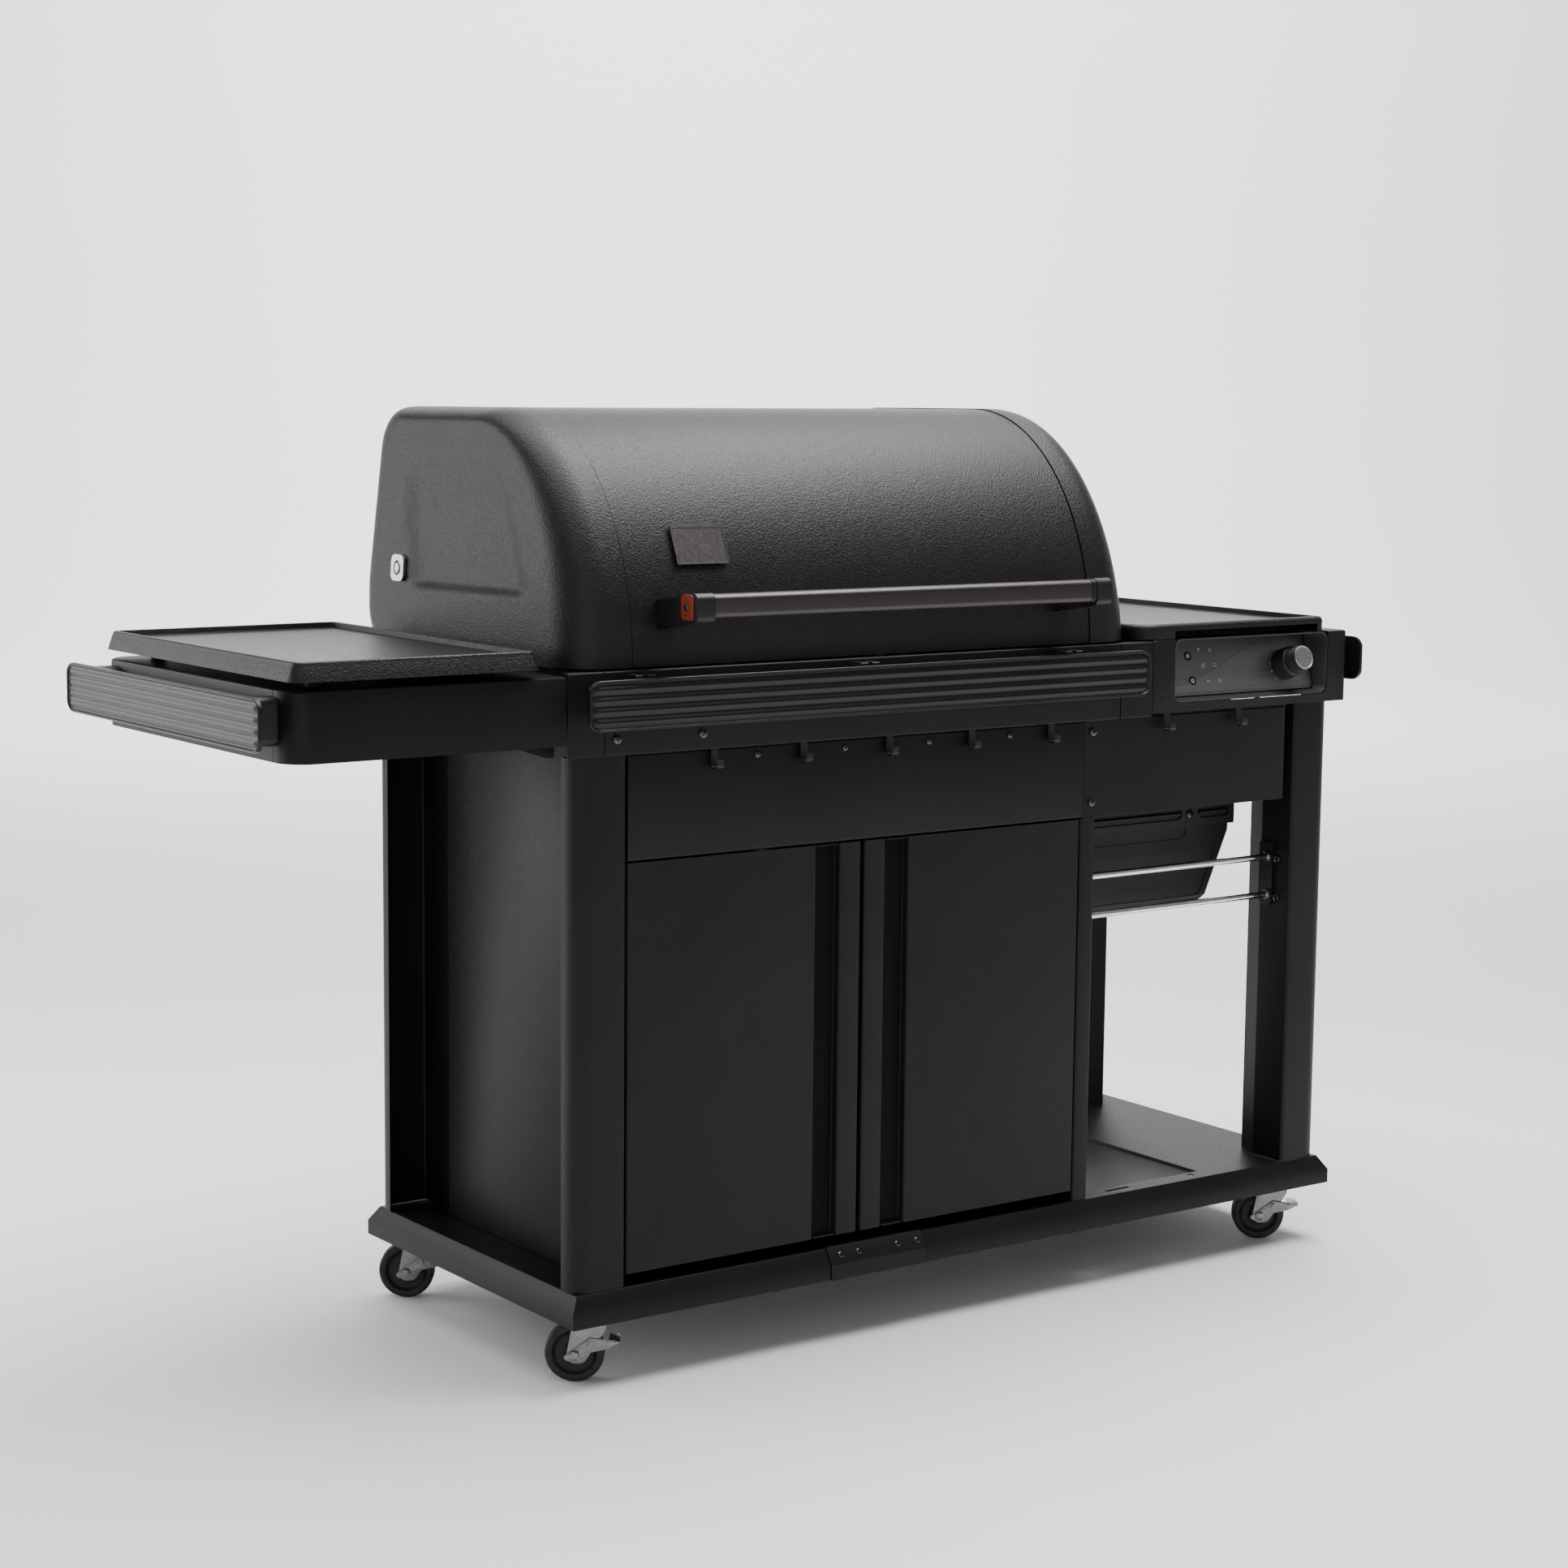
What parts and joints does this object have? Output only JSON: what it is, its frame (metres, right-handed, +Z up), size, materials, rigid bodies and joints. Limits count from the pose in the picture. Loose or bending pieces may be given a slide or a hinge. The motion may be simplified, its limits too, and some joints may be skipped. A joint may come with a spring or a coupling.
{
  "type": "pellet smoker grill",
  "caption": "Pellet smoker grill: domed lid over a long cooking chamber on a wheeled cabinet with doors, lift-off side tray, hopper with hinged lid, control panel and side handles",
  "frame": {"origin": "on the floor, under the middle of the overall box", "axes": "+X to the grill's right end (hopper side), +Y to its back, +Z up; the doors and controls face -Y"},
  "size_m": [1.775, 0.677, 1.2268],
  "materials": {
    "black_paint": "fine textured black powder coat",
    "satin_black": "satin",
    "black_plastic": "fine grained",
    "chrome": "polished",
    "handle_metal": "dark brushed",
    "dark_panel": "dark brushed",
    "silver": "satin",
    "accent": "moulded",
    "steel": "plain sheet",
    "zinc": "bright zinc plate",
    "rubber": "matte"
  },
  "bodies": {
    "grill": {"base_left": "black_paint", "base_right": "black_paint", "base_joint_plate": "black_paint", "leg_front_left": "black_paint", "leg_rear_left": "black_paint", "leg_front_right": "black_paint", "leg_rear_right": "black_paint", "cabinet_post": "black_paint", "side_panel_left": "black_paint", "side_panel_right": "black_paint", "back_panel": "black_paint", "apron_main": "black_paint", "apron_right": "black_paint", "front_beam": "black_paint", "beam_end_right": "black_paint", "front_rail": "black_paint", "shelf_frame": "black_paint", "left_handle": "black_paint", "right_handle": "black_paint", "barrel": "black_paint", "control_box": "black_paint", "exhaust_duct": "black_paint", "hopper": "black_plastic", "side_rods": "chrome", "control_panel": "dark_panel", "firepot": "steel", "drip_tray": "steel", "main_grate": "steel", "grease_keg": "steel", "auger_tube": "steel", "hinge_rod": "steel"},
    "lid": {"lid_shell": "black_paint", "lid_end_left": "black_paint", "lid_end_right": "black_paint", "lid_handle": "handle_metal", "handle_cap_left": "satin_black", "handle_cap_right": "satin_black", "handle_accent": "accent", "lid_badge": "satin_black", "probe_port": "silver"},
    "door_left": {"door_left": "black_paint"},
    "door_right": {"door_right": "black_paint"},
    "hopper_lid": {"hopper_lid": "black_paint"},
    "shelf_tray": {"shelf_tray": "black_paint"},
    "knob": {"knob": "silver"},
    "button_upper": {"button_upper": "black_plastic"},
    "button_lower": {"button_lower": "black_plastic"},
    "auger": {"auger": "steel"},
    "caster_front_left": {"caster_fork_front_left": "zinc"},
    "wheel_front_left": {"caster_wheel_front_left": "rubber"},
    "pedal_front_left": {"caster_pedal_front_left": "zinc"},
    "caster_front_right": {"caster_fork_front_right": "zinc"},
    "wheel_front_right": {"caster_wheel_front_right": "rubber"},
    "pedal_front_right": {"caster_pedal_front_right": "zinc"},
    "caster_rear_left": {"caster_fork_rear_left": "zinc"},
    "wheel_rear_left": {"caster_wheel_rear_left": "rubber"},
    "pedal_rear_left": {"caster_pedal_rear_left": "zinc"},
    "caster_rear_right": {"caster_fork_rear_right": "zinc"},
    "wheel_rear_right": {"caster_wheel_rear_right": "rubber"},
    "pedal_rear_right": {"caster_pedal_rear_right": "zinc"}
  },
  "joints": [
    {"name": "lid_hinge", "type": "hinge", "parent": "grill", "child": "lid", "pos_m": [-0.0035, 0.3125, 0.905], "axis": [-1, 0, 0], "range_deg": [0, 85]},
    {"name": "door_left_hinge", "type": "hinge", "parent": "grill", "child": "door_left", "pos_m": [-0.3733, -0.245, 0.4045], "axis": [0, 0, -1], "range_deg": [0, 110]},
    {"name": "door_right_hinge", "type": "hinge", "parent": "grill", "child": "door_right", "pos_m": [0.3601, -0.245, 0.4045], "axis": [0, 0, 1], "range_deg": [0, 110]},
    {"name": "hopper_lid_hinge", "type": "hinge", "parent": "grill", "child": "hopper_lid", "pos_m": [0.642, 0.272, 0.9215], "axis": [-1, 0, 0], "range_deg": [0, 75]},
    {"name": "tray_lift_off", "type": "slide", "parent": "grill", "child": "shelf_tray", "axis": [0, 0, 1], "range_m": [0, 0.12]},
    {"name": "knob_turn", "type": "hinge", "parent": "grill", "child": "knob", "pos_m": [0.7645, -0.22738, 0.8615], "axis": [0, -0.9463, 0.3231], "continuous": true},
    {"name": "button_upper_press", "type": "slide", "parent": "grill", "child": "button_upper", "axis": [0, 0.9463, -0.3231], "range_m": [0, 0.001], "stiffness_N_per_m": 300, "springref_m": -0.0005},
    {"name": "button_lower_press", "type": "slide", "parent": "grill", "child": "button_lower", "axis": [0, 0.9463, -0.3231], "range_m": [0, 0.001], "stiffness_N_per_m": 300, "springref_m": -0.0005},
    {"name": "auger_turn", "type": "hinge", "parent": "grill", "child": "auger", "pos_m": [0.2865, 0.0185, 0.64], "axis": [1, 0, 0], "continuous": true},
    {"name": "caster_swivel_front_left", "type": "hinge", "parent": "grill", "child": "caster_front_left", "pos_m": [-0.4025, -0.2115, 0.1], "axis": [0, 0, 1], "continuous": true},
    {"name": "wheel_roll_front_left", "type": "hinge", "parent": "caster_front_left", "child": "wheel_front_left", "pos_m": [-0.42159, -0.19763, 0.038], "axis": [-0.5878, -0.809, 0], "continuous": true},
    {"name": "brake_pedal_front_left", "type": "hinge", "parent": "caster_front_left", "child": "pedal_front_left", "pos_m": [-0.40412, -0.21032, 0.052], "axis": [0.5878, 0.809, 0], "range_deg": [0, 12]},
    {"name": "caster_swivel_front_right", "type": "hinge", "parent": "grill", "child": "caster_front_right", "pos_m": [0.7955, -0.2115, 0.1], "axis": [0, 0, 1], "continuous": true},
    {"name": "wheel_roll_front_right", "type": "hinge", "parent": "caster_front_right", "child": "wheel_front_right", "pos_m": [0.77641, -0.19763, 0.038], "axis": [-0.5878, -0.809, 0], "continuous": true},
    {"name": "brake_pedal_front_right", "type": "hinge", "parent": "caster_front_right", "child": "pedal_front_right", "pos_m": [0.79388, -0.21032, 0.052], "axis": [0.5878, 0.809, 0], "range_deg": [0, 12]},
    {"name": "caster_swivel_rear_left", "type": "hinge", "parent": "grill", "child": "caster_rear_left", "pos_m": [-0.4025, 0.2285, 0.1], "axis": [0, 0, 1], "continuous": true},
    {"name": "wheel_roll_rear_left", "type": "hinge", "parent": "caster_rear_left", "child": "wheel_rear_left", "pos_m": [-0.42159, 0.24237, 0.038], "axis": [-0.5878, -0.809, 0], "continuous": true},
    {"name": "brake_pedal_rear_left", "type": "hinge", "parent": "caster_rear_left", "child": "pedal_rear_left", "pos_m": [-0.40412, 0.22968, 0.052], "axis": [0.5878, 0.809, 0], "range_deg": [0, 12]},
    {"name": "caster_swivel_rear_right", "type": "hinge", "parent": "grill", "child": "caster_rear_right", "pos_m": [0.7955, 0.2285, 0.1], "axis": [0, 0, 1], "continuous": true},
    {"name": "wheel_roll_rear_right", "type": "hinge", "parent": "caster_rear_right", "child": "wheel_rear_right", "pos_m": [0.77641, 0.24237, 0.038], "axis": [-0.5878, -0.809, 0], "continuous": true},
    {"name": "brake_pedal_rear_right", "type": "hinge", "parent": "caster_rear_right", "child": "pedal_rear_right", "pos_m": [0.79388, 0.22968, 0.052], "axis": [0.5878, 0.809, 0], "range_deg": [0, 12]}
  ]
}
